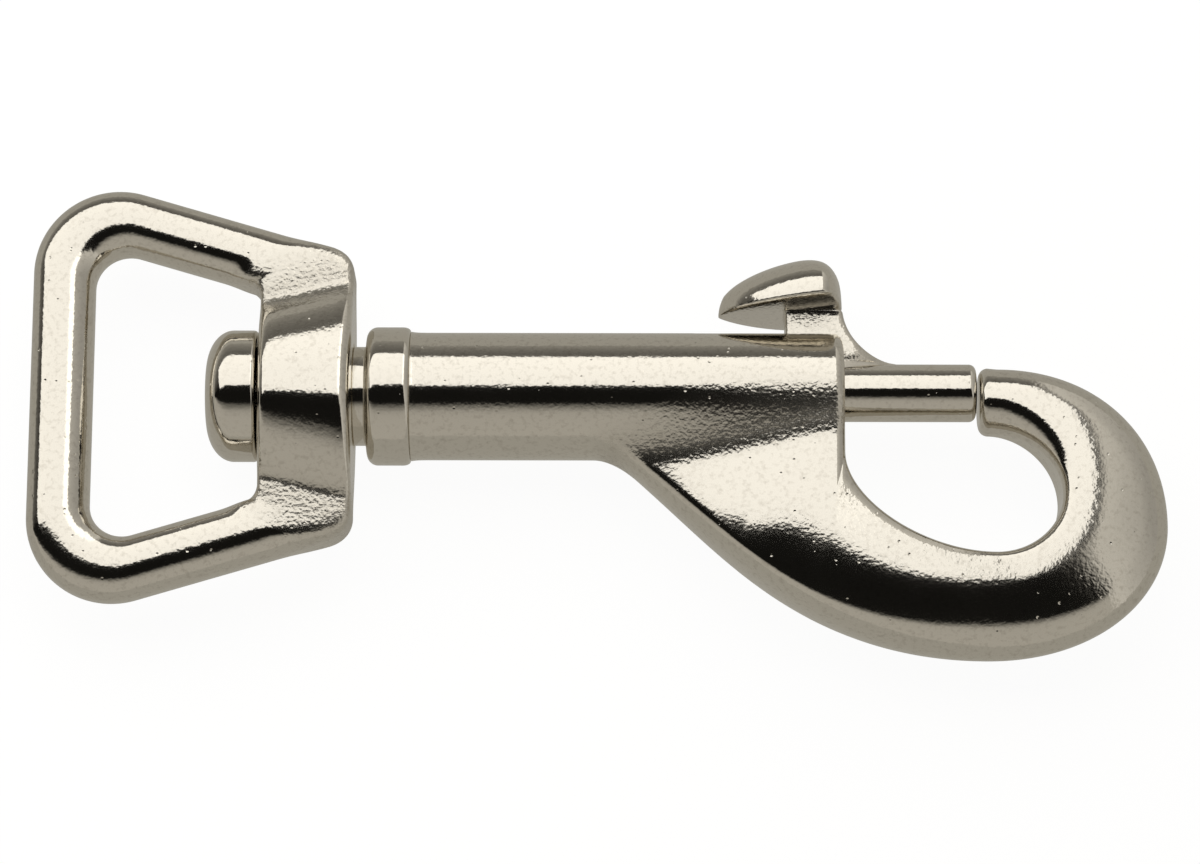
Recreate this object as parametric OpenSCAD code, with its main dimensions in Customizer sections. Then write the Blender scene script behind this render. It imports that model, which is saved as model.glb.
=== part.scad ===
// Swivel snap hook: a strap eye that turns on a riveted stud, and a cast
// hook whose mouth is shut by a sprung bolt with a thumb-piece.
// It lies flat. +X runs along the swivel from the eye to the hook,
// +Y points to the thumb side and +Z is up, away from the table.
// The origin is the middle of the eye's strap bar, on the swivel axis.

/* [Swivel eye] */
// Overall height of the eye, across its strap bar
eye_h = 31.2; // [26:0.1:40]
// Width of the strap bar and of the eye's arms, seen from above
bar_w = 4.6; // [3.5:0.1:6]
// Thickness of the strap bar and arms
bar_t = 4.6; // [3.5:0.1:6]
// Radius of the eye's two far corners, along the middle of the bar
corner_r = 4.0; // [3:0.1:6]
// Distance from the middle of the strap bar to the neck's inner face
eye_reach = 14.65; // [13:0.05:24]
// Length of the neck along the swivel axis
neck_l = 6.9; // [5:0.1:9]
// Overall height of the neck, across the swivel axis
neck_h = 21.5; // [19:0.1:24]
// Height of the neck's swollen boss
boss_h = 14.4; // [12:0.1:18]
// Thickness of the boss at its middle
boss_t = 11.2; // [10.4:0.1:13]
// Radius of the boss's bulging faces
boss_r = 9.2; // [8:0.1:14]

/* [Swivel stud] */
// Diameter of the shank that the eye turns on
shank_d = 7.3; // [5.8:0.1:7.8]
// Diameter of the rivet head
head_d = 9.7; // [9:0.1:10.4]
// Thickness of the rivet head
head_t = 3.8; // [2.4:0.1:4.2]
// Radius of the rivet head's dome
head_r = 2.2; // [1:0.1:2.4]
// Diameter of the collar
collar_d = 10.2; // [9.6:0.1:11]
// Thickness of the collar
collar_t = 3.2; // [2:0.1:5]
// Radius of the collar's edges
collar_r = 0.8; // [0.3:0.1:1]
// Diameter of the spigot that is pressed into the barrel
spigot_d = 5.8; // [5.4:0.1:7]
// Length of the spigot
spigot_l = 5.0; // [3:0.1:7]

/* [Hook body] */
// Outer diameter of the barrel
barrel_d = 9.4; // [9:0.1:11]
// Length of the barrel
barrel_l = 31.8; // [29:0.1:36]
// Radius of the edge at the barrel's front
barrel_r = 0.7; // [0.2:0.1:1]
// Depth of the hook's bend below the swivel axis
hook_drop = 19.8; // [18.5:0.1:24]
// Width of the hook's arm at the bottom of the bend
arm_w = 7.5; // [6:0.1:9]
// Width of the hook's arm at its far side
side_w = 7.8; // [6:0.1:9]
// Thickness of the arm at the bottom of the bend
arm_t = 6.7; // [5.4:0.1:8]
// Length of the hook's opening, from the barrel's front to its far side
gape_l = 15.9; // [13:0.1:22]
// Thickness of the web where it leaves the barrel
web_t = 4.8; // [3.6:0.1:6]
// Thickness of the web at the barrel's front wall
wall_t = 7.6; // [6:0.1:8.4]
// Length of the barrel behind the web's start
web_back = 14.55; // [11:0.05:18]
// Diameter of the hook's tip
tip_d = 5.0; // [4.4:0.1:5.6]
// Radius of the edge round the tip's face
tip_r = 0.7; // [0.3:0.1:1]

/* [Bolt] */
// Diameter of the bolt
bolt_d = 4.25; // [3.6:0.05:4.6]
// Length of the bolt
bolt_l = 24.0; // [20:0.1:26]
// Radius of the edge round the bolt's nose
nose_r = 0.5; // [0.2:0.1:1]
// Gap between the shut bolt's nose and the hook's tip
nose_gap = 0.2; // [0.2:0.1:1]
// How far the bolt's axis lies above the barrel's, on the thumb side
bolt_rise = 0.3; // [0:0.05:0.4]
// Length of the thumb-piece
thumb_l = 9.1; // [7:0.1:11]
// Width of the thumb-piece
thumb_w = 10.4; // [6:0.1:11]
// Thickness of the thumb-piece at the top of its dome
thumb_t = 3.85; // [2:0.05:5]
// How much the thumb-piece's underside rises towards its front
thumb_lift = 0.4; // [0:0.05:0.6]
// Thickness of the rounded rim round the thumb-piece's underside
thumb_rim = 0.5; // [0.2:0.05:0.8]
// Clear height between the barrel and the thumb-piece
thumb_gap = 1.4; // [0.5:0.1:3]
// Thickness of the post between the bolt and its thumb-piece
post_t = 2.9; // [2:0.1:3.2]
// Length of the post along the bolt
post_l = 4.2; // [3:0.1:6]
// Radius of the hollow curve in front of the post
post_r = 4.3; // [2:0.1:5]
// How far the thumb pulls the bolt back
travel = 6.3; // [5:0.1:7]

/* [Spring] */
// Diameter of the spring's wire
wire_d = 0.45; // [0.3:0.05:0.6]
// Number of coils
coils = 8; // [6:1:9]

/* [Fits] */
// Clearance all round between the eye and the stud's shank
swivel_clear = 0.08; // [0.03:0.01:0.1]
// Gap between the neck and the rivet head
head_clear = 0.1; // [0.05:0.01:0.3]
// Gap between the neck and the collar, the eye's end play
end_play = 1.0; // [0.3:0.1:1.5]
// Clearance all round between the bolt and its bore
bolt_clear = 0.08; // [0.03:0.01:0.1]
// Clearance on each side of the post in its slot
slot_clear = 0.2; // [0.1:0.05:0.3]
// Clearance all round between the spring and its bore
spring_clear = 0.2; // [0.1:0.05:0.3]
// How much larger the pressed spigot's radius is than its hole's
press = 0.02; // [0:0.01:0.03]

/* [Hidden] */
$fn = 96;
edge_sides = 32;
eps = 0.01;
// the radius of an edge that is left nearly sharp
crisp_r = 0.1;

// Places along the swivel axis, from the eye to the hook
neck_x = eye_reach;
head_x = neck_x - head_clear - head_t;
collar_x = neck_x + neck_l + end_play;
barrel_x = collar_x + collar_t;
front_x = barrel_x + barrel_l;
spigot_end_x = barrel_x + spigot_l;
web_x = barrel_x + web_back;
// the bend's lowest point and the tip's face, as shares of the opening's length
bend_share = 0.66;
tip_share = 0.63;
bend_x = front_x + gape_l * bend_share;
tip_x = front_x + gape_l * tip_share;
nose_x = tip_x - nose_gap;
bolt_x = nose_x - bolt_l;
// the fronts of the thumb-piece and its post are level with the barrel's
thumb_x = front_x - thumb_l;
post_x = front_x - post_l;
slot_corner_r = 0.3;
slot_end_gap = 0.25;
slot_x = post_x - travel - slot_corner_r - slot_end_gap;

// Heights above the swivel axis
thumb_y = barrel_d / 2 + thumb_gap;
tip_sag = 0.38;
tip_y = -tip_sag;
floor_y = -hook_drop + arm_w;
side_rise = 0.2;
side_y = -hook_drop / 2 + side_rise;

// Bores
bolt_bore_d = bolt_d + 2 * bolt_clear;
spigot_bore_d = spigot_d - 2 * press;
swivel_bore_d = shank_d + 2 * swivel_clear;
slot_w = post_t + 2 * slot_clear;

// A point part way from a to b
function mix(a, b, t) = a + (b - a) * t;

// A point on the curve from a to d whose ends aim at b and from c
function curve(a, b, c, d, t) =
    a * pow(1 - t, 3) + 3 * b * t * pow(1 - t, 2) + 3 * c * t * t * (1 - t) + d * pow(t, 3);

// A quarter bend from a to b. It leaves a along the corner side and
// arrives square to it. The fullness k is 0.55 for a true circle.
function bend(a, corner, b, k, t) =
    curve(a, mix(a, corner, k), mix(b, corner, k), b, t);

// A power that keeps the sign of its base
function signed_pow(x, p) = sign(x) * pow(abs(x), p);

// One cross-section: an oval that reaches from the point a to the point b
// in the flat plane and h above and below it. The squareness n is 2 for an
// ellipse and more for a flatter face.
ring_n = 36;
function section(a, b, h, n) = [
    for (k = [0 : ring_n - 1])
        let (
            turn = 360 * k / ring_n,
            across = signed_pow(cos(turn), 2 / n),
            up = signed_pow(sin(turn), 2 / n),
            p = (a + b) / 2 + (b - a) / 2 * across
        )
        [p[0], p[1], h * up]
];

// A closed skin over a row of cross-sections, with flat ends
module skin(rings) {
    m = len(rings[0]);
    last = len(rings) - 1;
    points = [for (ring = rings) each ring];
    sides = [
        for (i = [0 : last - 1], k = [0 : m - 1])
            let (next = (k + 1) % m)
            [i * m + k, i * m + next, (i + 1) * m + next, (i + 1) * m + k]
    ];
    rear = [[for (k = [m - 1 : -1 : 0]) k]];
    front = [[for (k = [0 : m - 1]) last * m + k]];
    polyhedron(points, concat(sides, rear, front), convexity = 4);
}

// A turned bar along +X from x, its axis at the height y, with rounded
// edges at its rear and front
module turned(x, length, d, rear_r, front_r, y = 0) {
    translate([x, y, 0])
    rotate([0, 90, 0])
    rotate_extrude() {
        translate([0, rear_r])
            square([d / 2, length - rear_r - front_r]);
        square([d / 2 - rear_r, length / 2]);
        translate([0, length / 2])
            square([d / 2 - front_r, length / 2]);
        translate([d / 2 - rear_r, rear_r])
            intersection() {
                circle(rear_r, $fn = edge_sides);
                translate([0, -rear_r])
                    square([rear_r, rear_r + eps]);
            }
        translate([d / 2 - front_r, length - front_r])
            intersection() {
                circle(front_r, $fn = edge_sides);
                translate([0, -eps])
                    square([front_r, front_r + eps]);
            }
    }
}

// A round hole along X from x, its axis at the height y
module hole(x, length, d, y = 0) {
    translate([x, y, 0])
    rotate([0, 90, 0])
        cylinder(h = length, d = d);
}

// Hook body: the barrel, the web under it and the hook in one casting

// The hook's outer edge from the barrel to the bottom of the bend. It
// starts a little inside the barrel, and each way says how far and where
// to the edge aims at that end.
web_sink = 0.3;
web_outer = [web_x, -barrel_d / 2 + web_sink];
web_way = [7.35, -6.15];
bottom_outer = [bend_x, -hook_drop];
bottom_way = [13.9, 0];
function web_outer_edge(t) =
    curve(web_outer, web_outer + web_way, bottom_outer - bottom_way, bottom_outer, t);

// The inner edge that goes with it: along the barrel's inside, down the
// wall below its mouth and round the near part of the opening
web_ahead = 1.3;
web_depth = 1.0;
wall_depth = 0.2;
wall_inset = 0.1;
foot_drop = 0.3;
floor_ahead = 0.4;
web_inner = [web_x + web_ahead, -web_depth];
wall_top = [front_x - wall_inset, -wall_depth];
wall_foot = [front_x, -barrel_d / 2 - foot_drop];
bottom_inner = [bend_x + floor_ahead, floor_y];
// the shares of the way at which the edge reaches the wall's top and foot
top_t = 0.5;
foot_t = 0.62;
near_fullness = 0.48;
function web_inner_edge(t) =
    t < top_t ? mix(web_inner, wall_top, t / top_t)
    : t < foot_t ? mix(wall_top, wall_foot, (t - top_t) / (foot_t - top_t))
    : bend(wall_foot, [wall_foot[0], bottom_inner[1]], bottom_inner, near_fullness,
        (t - foot_t) / (1 - foot_t));

// The far side of the bend, the top of the hook and its tip
inner_rise = 1.9;
outer_ahead = 1.4;
outer_sink = 0.08;
side_outer = [front_x + gape_l + side_w, side_y];
side_inner = [front_x + gape_l, side_y + inner_rise];
top_outer = [tip_x + outer_ahead, tip_y + tip_d / 2 - outer_sink];
top_inner = [tip_x + tip_r, tip_y - tip_d / 2];
inner_fullness = 0.54;
bottom_fullness = 0.57;
top_fullness = 0.59;

// The arm's section, at places from 0 where the web starts, 1 at the foot
// of the barrel's wall, 2 at the bottom of the bend and 3 at its far side
// to 4 at the tip. Its crest lies nearer to the inner edge, and the crown
// falls from there to both edges.
web_swell = 0.43;
side_thinner = 0.25;
half_at = [[0, web_t / 2], [0.5, mix(web_t, wall_t, web_swell) / 2], [1, wall_t / 2],
    [2, arm_t / 2], [3, arm_t / 2 - side_thinner], [4, tip_d / 2]];
crest_at = [[0, 0.6], [1, 0.59], [2, 0.82], [3, 0.8], [4, 0.5]];
fall_at = [[0, 0.2], [0.5, 0.35], [1, 1.1], [2, 1.6], [3, 1.3], [4, 0]];
lip_at = [[1, 0], [2, 0.4], [3, 0.35], [4, 0]];
outer_round_at = [[0, 0.9], [0.5, 1], [1, 1.2], [2, 2.3], [3, 2.4], [4, tip_d / 2]];
inner_round_at = [[0, 0.75], [1, 0.75], [2, 1.3], [3, 1.5], [4, tip_d / 2]];

// The power of the edges' rounding: 2 is a circle, and more is fuller
edge_power = 2.3;

// The share of the height that an edge rounded over the width r leaves at
// the distance q from it
function edge_share(q, r, n) = pow(1 - pow(max(0, 1 - q / r), n), 1 / n);

function arm_section(a, b, place, size = 1) = [
    for (k = [0 : ring_n - 1])
        let (
            turn = 360 * k / ring_n,
            width = norm(b - a),
            q = width * (1 + cos(turn)) / 2,
            crest = width * (1 - lookup(place, crest_at)),
            outward = max(0, (q - crest) / (width - crest)),
            inward = max(0, (crest - q) / crest),
            crown = size * lookup(place, half_at)
                - lookup(place, fall_at) * pow(outward, 2)
                - lookup(place, lip_at) * pow(inward, 2),
            n = place > 3 ? mix(edge_power, 2, place - 3) : edge_power,
            height = crown
                * edge_share(q, size * lookup(place, inner_round_at), n)
                * edge_share(width - q, size * lookup(place, outer_round_at), n),
            p = mix(a, b, q / width)
        )
        [p[0], p[1], (sin(turn) < 0 ? -1 : 1) * height]
];

web_steps = 34;
web_rings = [
    for (i = [0 : web_steps - 1])
        let (
            t = i / web_steps,
            place = t < foot_t ? t / foot_t : 1 + (t - foot_t) / (1 - foot_t)
        )
        arm_section(web_inner_edge(t), web_outer_edge(t), place)
];
bend_steps = 16;
bottom_rings = [
    for (i = [0 : bend_steps - 1])
        let (t = i / bend_steps)
        arm_section(
            bend(bottom_inner, [side_inner[0], bottom_inner[1]], side_inner, inner_fullness, t),
            bend(bottom_outer, [side_outer[0], bottom_outer[1]], side_outer, bottom_fullness, t),
            2 + t)
];
top_rings = [
    for (i = [0 : bend_steps - 1])
        let (t = i / bend_steps)
        arm_section(
            bend(side_inner, [side_inner[0], top_inner[1]], top_inner, inner_fullness, t),
            bend(side_outer, [side_outer[0], top_outer[1]], top_outer, top_fullness, t),
            3 + t)
];
tip_rings = [
    for (turn = [0 : 18 : 90])
        let (
            x = tip_x + tip_r * (1 - sin(turn)),
            r = tip_d / 2 - tip_r * (1 - cos(turn))
        )
        arm_section([x, tip_y - r], [x, tip_y + r], 4, 2 * r / tip_d)
];

// The slot in the barrel's thumb side, open at the front
module slot_cut() {
    straight = front_x - slot_x - slot_corner_r + 1;
    translate([slot_x, barrel_d, 0])
    rotate([90, 0, 0])
    linear_extrude(height = barrel_d) {
        translate([slot_corner_r, -slot_w / 2])
            square([straight, slot_w]);
        translate([0, -slot_w / 2 + slot_corner_r])
            square([1, slot_w - 2 * slot_corner_r]);
        for (side = [-1, 1])
            translate([slot_corner_r, side * (slot_w / 2 - slot_corner_r)])
                circle(slot_corner_r);
    }
}

module hook_body() color([0.74, 0.71, 0.65])
    difference() {
        union() {
            turned(barrel_x, barrel_l, barrel_d, crisp_r, barrel_r);
            skin(concat(web_rings, bottom_rings, top_rings, tip_rings));
        }
        hole(barrel_x + spigot_l / 2, barrel_l, bolt_bore_d, bolt_rise);
        hole(barrel_x - 1, spigot_l + 1, spigot_bore_d);
        slot_cut();
    }

// Bolt: the plunger, its post and the thumb-piece in one casting

bolt_rear_r = 0.3;

// The thumb-piece tapers to a point at its rear and is broad in front.
// Its width and height follow how far along it t a section is.
function rise_and_close(t, top, power, close, closing) =
    pow(sin(90 * min(1, t / top)), power)
    * (t > close ? pow(1 - pow((t - close) / closing, 2), 0.5) : 1);
function thumb_width(t) = thumb_w * rise_and_close(t, 0.9, 0.62, 0.86, 0.142);
function thumb_height(t) = (thumb_t - thumb_rim) * rise_and_close(t, 0.66, 0.6, 0.76, 0.242);
function thumb_base(t) = thumb_y + thumb_lift * t * t;
thumb_steps = 26;
thumb_rings = [
    for (i = [0 : thumb_steps])
        let (
            t = 0.002 + 0.998 * (1 - cos(180 * i / thumb_steps)) / 2,
            dome = thumb_height(t),
            rim = min(thumb_rim, dome / 2)
        )
        [
            for (k = [0 : ring_n - 1])
                let (turn = 360 * k / ring_n, n = sin(turn) > 0 ? 2 : 3.2)
                [
                    thumb_x + thumb_l * t,
                    thumb_base(t) + rim
                        + (sin(turn) > 0 ? dome : rim) * signed_pow(sin(turn), 2 / n),
                    thumb_width(t) / 2 * signed_pow(cos(turn), 2 / n)
                ]
        ]
];

// The post stands on the bolt and reaches into the thumb-piece. The hollow
// curve in front of it runs down to the bolt's top.
module post() {
    bolt_top = bolt_rise + bolt_d / 2;
    post_front = post_x + post_l;
    translate([0, 0, -post_t / 2])
    linear_extrude(height = post_t)
    difference() {
        translate([post_x, bolt_rise])
            square([post_l + post_r, thumb_y + thumb_lift + thumb_rim - bolt_rise]);
        translate([post_front + post_r, bolt_top + post_r])
            circle(post_r);
        translate([post_front, bolt_top + post_r])
            square([post_r + 1, thumb_y]);
    }
}

module bolt() color([0.76, 0.73, 0.67]) {
    turned(bolt_x, bolt_l, bolt_d, bolt_rear_r, nose_r, bolt_rise);
    post();
    skin(thumb_rings);
}

// Spring: a coil of round wire between the spigot and the bolt
spring_gap = 0.08;
coil_r = bolt_bore_d / 2 - spring_clear - wire_d / 2;
spring_a = spigot_end_x + spring_gap + wire_d / 2;
spring_b = bolt_x - spring_gap - wire_d / 2;
coil_steps = 16;
wire_sides = 8;
spring_rings = [
    for (i = [0 : coils * coil_steps])
        let (
            turn = 360 * i / coil_steps,
            x = mix(spring_a, spring_b, i / (coils * coil_steps))
        )
        [
            for (k = [0 : wire_sides - 1])
                let (
                    side = 360 * k / wire_sides,
                    r = coil_r + wire_d / 2 * cos(side)
                )
                [x + wire_d / 2 * sin(side), bolt_rise + r * cos(turn), r * sin(turn)]
        ]
];

module bolt_spring() color([0.6, 0.6, 0.6])
    skin(spring_rings);

// Swivel stud: the spigot, the collar, the shank and the rivet head

head_front_r = 0.4;
collar_front_r = 0.3;
spigot_end_r = 0.4;
module swivel_stud() color([0.72, 0.69, 0.63]) {
    shank_x = head_x + head_t / 2;
    spigot_x = collar_x + collar_t / 2;
    turned(head_x, head_t, head_d, head_r, head_front_r);
    turned(shank_x, spigot_x - shank_x, shank_d, crisp_r, crisp_r);
    turned(collar_x, collar_t, collar_d, collar_r, collar_front_r);
    turned(spigot_x, spigot_end_x - spigot_x, spigot_d, crisp_r, spigot_end_r);
}

// Swivel eye: the strap bar, two arms and the bored neck in one casting

// The arm's middle line leaves the corner's circle as a tangent and
// ends inside the neck
corner = [corner_r, eye_h / 2 - bar_w / 2 - corner_r];
arm_reach = 0.85;
arm_over = 0.2;
arm_end = [neck_x + neck_l * arm_reach, neck_h / 2 - bar_w / 2 + arm_over];
arm_run = arm_end - corner;
arm_slope = atan2(arm_run[1], arm_run[0]) - asin(corner_r / norm(arm_run));
arm_turn = 90 + arm_slope;
arm_start = corner + corner_r * [cos(arm_turn), sin(arm_turn)];
corner_turns = [for (i = [0 : 12]) mix(180, arm_turn, i / 12)];
half_eye = concat(
    [for (i = [0 : 3]) [[0, mix(0, corner[1], i / 4)], 180]],
    [for (turn = corner_turns) [corner + corner_r * [cos(turn), sin(turn)], turn]],
    [for (i = [1 : 4]) [mix(arm_start, arm_end, i / 4), arm_turn]]
);
bar_power = 2.4;
function eye_ring(place, side) =
    let (out = bar_w / 2 * [cos(place[1]), sin(place[1])])
    section(
        [(place[0] - out)[0], side * (place[0] - out)[1]],
        [(place[0] + out)[0], side * (place[0] + out)[1]],
        bar_t / 2, bar_power);
eye_rings = concat(
    [for (i = [len(half_eye) - 1 : -1 : 1]) eye_ring(half_eye[i], 1)],
    [for (place = half_eye) eye_ring(place, -1)]
);

// The neck's outline seen along the swivel: a lens-shaped boss on a bar
module neck_end_view() {
    intersection() {
        translate([0, boss_t / 2 - boss_r])
            circle(boss_r);
        translate([0, boss_r - boss_t / 2])
            circle(boss_r);
        square([boss_h, boss_t + 1], center = true);
    }
    square([neck_h, bar_t], center = true);
}

// The neck's outline seen from above, with rounded corners
edge_r = 2.2;
module neck_top_view() {
    translate([0, -neck_h / 2 + edge_r])
        square([neck_l, neck_h - 2 * edge_r]);
    translate([0, -neck_h / 2])
        square([neck_l - edge_r, neck_h]);
    for (side = [-1, 1])
        translate([neck_l - edge_r, side * (neck_h / 2 - edge_r)])
            circle(edge_r);
}

module swivel_eye() color([0.75, 0.72, 0.66])
    difference() {
        union() {
            skin(eye_rings);
            intersection() {
                translate([neck_x, 0, 0])
                rotate([90, 0, 90])
                linear_extrude(height = neck_l)
                    neck_end_view();
                translate([neck_x, 0, -boss_t])
                linear_extrude(height = 2 * boss_t)
                    neck_top_view();
            }
        }
        hole(neck_x - 1, neck_l + 2, swivel_bore_d);
    }

hook_body();
bolt();
bolt_spring();
swivel_stud();
swivel_eye();
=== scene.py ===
# Swivel snap hook: the looks of its five pieces, a floor, soft light and a camera.
# Sizes are in millimetres until a mesh is made. +X runs from the eye to the hook.
import math
import bmesh
import bpy
import numpy as np
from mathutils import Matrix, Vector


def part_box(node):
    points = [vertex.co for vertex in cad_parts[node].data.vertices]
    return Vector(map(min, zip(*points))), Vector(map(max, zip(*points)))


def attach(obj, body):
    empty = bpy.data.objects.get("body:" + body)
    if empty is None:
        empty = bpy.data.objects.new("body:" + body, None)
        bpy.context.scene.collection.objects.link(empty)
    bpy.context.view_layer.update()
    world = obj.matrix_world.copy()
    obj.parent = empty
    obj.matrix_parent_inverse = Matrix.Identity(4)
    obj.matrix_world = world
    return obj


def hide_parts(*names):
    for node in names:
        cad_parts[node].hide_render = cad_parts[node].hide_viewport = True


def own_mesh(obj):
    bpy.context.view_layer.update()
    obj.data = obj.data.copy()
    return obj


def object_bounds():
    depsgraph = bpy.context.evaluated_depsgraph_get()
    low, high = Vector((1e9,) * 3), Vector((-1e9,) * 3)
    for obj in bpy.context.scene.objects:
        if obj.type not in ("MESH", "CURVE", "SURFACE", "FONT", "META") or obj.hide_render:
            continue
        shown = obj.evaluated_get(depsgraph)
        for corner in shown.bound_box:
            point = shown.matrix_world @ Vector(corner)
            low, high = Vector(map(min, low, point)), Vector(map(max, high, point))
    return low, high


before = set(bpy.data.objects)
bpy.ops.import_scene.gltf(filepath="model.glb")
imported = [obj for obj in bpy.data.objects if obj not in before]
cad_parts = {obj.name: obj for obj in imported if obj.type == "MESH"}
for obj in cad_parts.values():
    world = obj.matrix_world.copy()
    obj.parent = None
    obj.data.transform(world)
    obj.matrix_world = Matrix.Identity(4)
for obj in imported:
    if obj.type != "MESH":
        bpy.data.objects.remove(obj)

cadBox = [list(corner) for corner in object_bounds()]
scene = bpy.context.scene
metresPerMm = 0.001


def nodeBox(node):
    # lowest and highest corner of a CAD node, in millimetres
    low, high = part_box(node)
    return np.array(low) / metresPerMm, np.array(high) / metresPerMm


hookLow = nodeBox("hook_body")[0]
boltLow, boltHigh = nodeBox("bolt")
springLow, springHigh = nodeBox("bolt_spring")
# the bolt and its spring lie a little nearer to the thumb side than the barrel's axis
boltAxis = (springLow[1] + springHigh[1]) / 2

# Small formulas that the shapes share

def mix(a, b, t):
    # straight line from a to b
    return a + (b - a) * t


def ease(t):
    # leaves 0 and reaches 1 with no corner
    t = np.clip(t, 0, 1)
    return t * t * (3 - 2 * t)


def signedPower(x, power):
    # the power of a value's size, with the value's own sign
    return np.sign(x) * np.abs(x) ** power


def curvePoints(a, b, c, d, t):
    # cubic curve from a to d whose ends aim at b and from c
    t = t[:, None]
    return a * (1 - t) ** 3 + 3 * b * t * (1 - t) ** 2 + 3 * c * t * t * (1 - t) + d * t ** 3


def bendPoints(a, corner, b, fullness, t):
    # quarter bend from a to b round a corner, 0.55 is close to a circle
    return curvePoints(a, mix(a, corner, fullness), mix(b, corner, fullness), b, t)


def smoothMax(a, b, width):
    # the larger of two values, with the step between them rounded over width
    blend = np.maximum(width - np.abs(a - b), 0) / width
    return np.maximum(a, b) + blend * blend * width / 4


def roundedCut(a, b, radius):
    # the part inside both forms, with a rounded edge where their surfaces cross
    outA, outB = a + radius, b + radius
    corner = np.hypot(np.maximum(outA, 0), np.maximum(outB, 0))
    return np.minimum(np.maximum(outA, outB), 0) + corner - radius


def evenSteps(points, count):
    # the same outline with its points at equal distances
    step = np.linalg.norm(np.diff(points, axis=0), axis=1)
    along = np.concatenate([[0], np.cumsum(step)])
    wanted = np.linspace(0, along[-1], count)
    return np.stack([np.interp(wanted, along, points[:, k]) for k in range(2)], axis=1)


def meshFromGrid(name, grid, closeAlong=False, values=None):
    # rings of points joined to their neighbours, ends shut by a fan round each ring's middle
    rings, around = grid.shape[:2]
    points = grid.reshape(-1, 3)
    i, j = np.meshgrid(np.arange(rings if closeAlong else rings - 1), np.arange(around), indexing="ij")
    nextI, nextJ = (i + 1) % rings, (j + 1) % around
    ringI, ringNext = i * around, nextI * around
    quads = np.stack([ringI + j, ringI + nextJ, ringNext + nextJ, ringNext + j], axis=-1)
    faces = quads.reshape(-1, 4).tolist()
    value = np.zeros(len(points)) if values is None else values.reshape(-1)
    if not closeAlong:
        hubs = np.array([grid[0].mean(axis=0), grid[-1].mean(axis=0)])
        points = np.concatenate([points, hubs])
        value = np.concatenate([value, [0, 0]])
        k = np.arange(around)
        nextK, last, hub = (k + 1) % around, (rings - 1) * around, np.full(around, rings * around)
        rear = np.stack([nextK, k, hub], axis=1)
        front = np.stack([last + k, last + nextK, hub + 1], axis=1)
        faces += rear.tolist() + front.tolist()
    mesh = bpy.data.meshes.new(name)
    mesh.from_pydata((points * metresPerMm).tolist(), [], faces)
    mesh.update()
    # a closed skin that points outwards holds a positive volume
    mesh.calc_loop_triangles()
    corner = np.zeros(len(mesh.loop_triangles) * 3, dtype=np.int32)
    mesh.loop_triangles.foreach_get("vertices", corner)
    a, b, c = points[corner.reshape(-1, 3)].transpose(1, 0, 2)
    if np.einsum("ij,ij->i", a, np.cross(b, c)).sum() < 0:
        mesh.flip_normals()
    # these values give coarser grain, and painted shade in the colour
    attribute = mesh.attributes.new("castGrain", "FLOAT", "POINT")
    attribute.data.foreach_set("value", value)
    piece = bpy.data.objects.new(name, mesh)
    scene.collection.objects.link(piece)
    return piece


def lathe(name, profile, around=128, height=0.0):
    # a profile of (x, radius) turned round a line along X, at one height or one for each point
    turn = np.linspace(0, 2 * np.pi, around, endpoint=False)
    x = np.repeat(profile[:, 0][:, None], around, axis=1)
    y = np.reshape(height, (-1, 1)) + profile[:, 1][:, None] * np.cos(turn)
    z = profile[:, 1][:, None] * np.sin(turn)
    return meshFromGrid(name, np.stack([x, y, z], axis=-1))


def edgeArc(x, radius, edgeX, edgeRadius, fromAngle, toAngle, count):
    # part of an ellipse in the (x, radius) plane, for a rounded edge of a turned profile
    angle = np.radians(np.linspace(fromAngle, toAngle, count))
    return np.stack([x + edgeX * np.cos(angle), radius + edgeRadius * np.sin(angle)], axis=1)


def applyModifiers(piece):
    # keeps the shape that the modifiers make and drops the modifiers
    shape = bpy.data.meshes.new_from_object(piece.evaluated_get(bpy.context.evaluated_depsgraph_get()))
    piece.modifiers.clear()
    piece.data = shape


def combine(piece, tool, operation):
    # cuts the tool out of the piece, or joins it on, and removes the tool
    step = piece.modifiers.new(operation, "BOOLEAN")
    step.operation = operation
    step.solver = "EXACT"
    step.object = tool
    applyModifiers(piece)
    bpy.data.objects.remove(tool)
    # points closer than a thousandth of a millimetre are made one, so that the skin stays closed
    shape = bmesh.new()
    shape.from_mesh(piece.data)
    bmesh.ops.remove_doubles(shape, verts=shape.verts, dist=0.000001)
    shape.to_mesh(piece.data)
    shape.free()


def finishPiece(piece, material, body, node, sharpAngle=38):
    # smooth shading with true creases, one finish, and its place on a body
    mesh = piece.data
    mesh.shade_smooth()
    mesh.set_sharp_from_angle(angle=math.radians(sharpAngle))
    mesh.materials.clear()
    mesh.materials.append(material)
    mesh.polygons.foreach_set("material_index", np.zeros(len(mesh.polygons), dtype=np.int32))
    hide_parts(node)
    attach(piece, body)
    print(piece.name, "has", len(mesh.polygons), "faces")


# Short forms for the nodes of a material or of the room

def nodeKit(tree):
    # empties the tree and gives three short forms: add makes a node, put sets a socket or
    # links another node's output to it, and calc does one step of arithmetic
    tree.nodes.clear()

    def add(kind, **settings):
        node = tree.nodes.new(kind)
        for key, value in settings.items():
            setattr(node, key, value)
        return node

    def put(value, socket):
        if isinstance(value, bpy.types.NodeSocket):
            tree.links.new(value, socket)
        else:
            socket.default_value = value

    def calc(operation, *values, clamp=False):
        node = add("ShaderNodeMath", operation=operation, use_clamp=clamp)
        for socket, value in zip(node.inputs, values):
            put(value, socket)
        return node.outputs[0]

    return add, put, calc


def colourSockets(sockets):
    # a Mix node has sockets of every kind, and these are the ones that carry a colour
    return [socket for socket in sockets if socket.type == "RGBA"]


# Nickel plate over a cast or turned surface

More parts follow.
